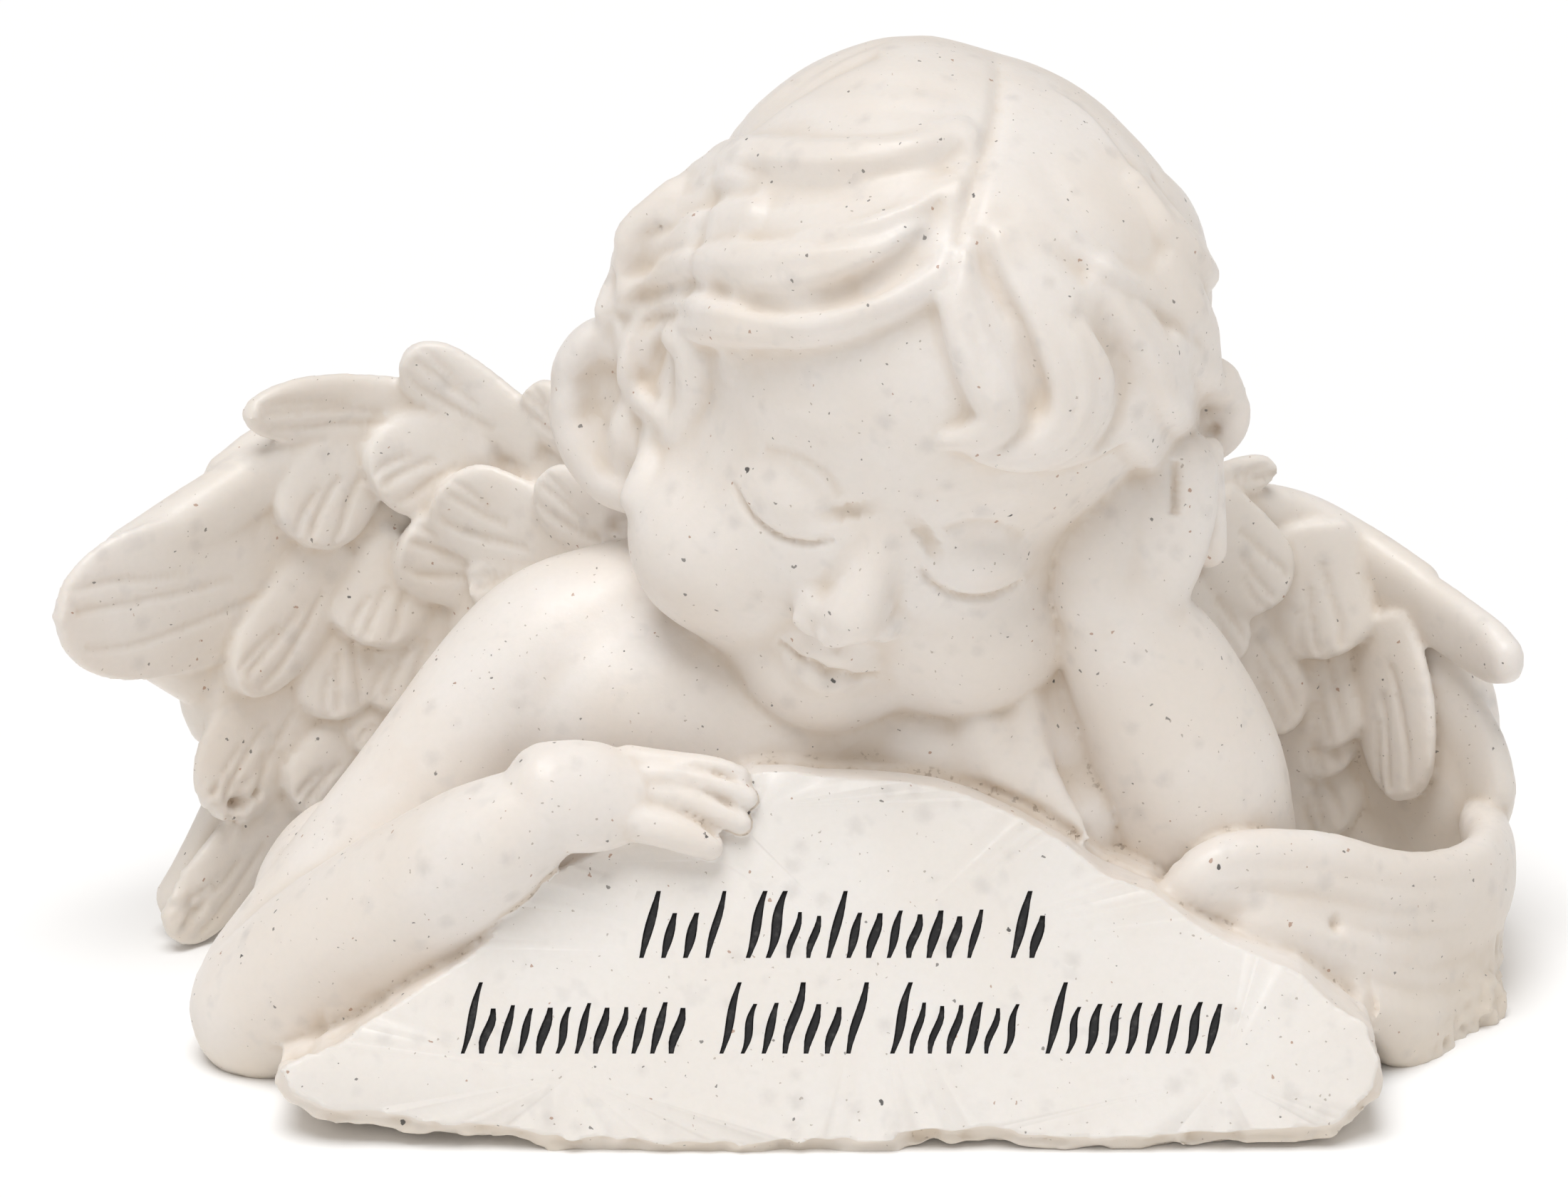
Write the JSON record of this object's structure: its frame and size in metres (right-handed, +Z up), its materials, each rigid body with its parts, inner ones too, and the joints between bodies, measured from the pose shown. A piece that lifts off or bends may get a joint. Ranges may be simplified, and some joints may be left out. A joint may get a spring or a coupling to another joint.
{
  "type": "memorial angel figurine",
  "caption": "Cast stone-resin figurine of a sleeping winged child leaning on a sloped plaque with rows of engraved strokes; stands on its flat underside.",
  "frame": {"origin": "middle of the footprint of the bounding box, on the flat underside", "axes": "+Z up; -Y towards the viewer, the way the plaque and the face look; +X to the viewer's right, along the wing span"},
  "size_m": [0.1532, 0.0744, 0.1028],
  "materials": {
    "cast_stone": "satin stone-filled resin, warm off-white with small dark specks"
  },
  "bodies": {
    "root": {"figurine": "cast_stone"}
  },
  "joints": []
}
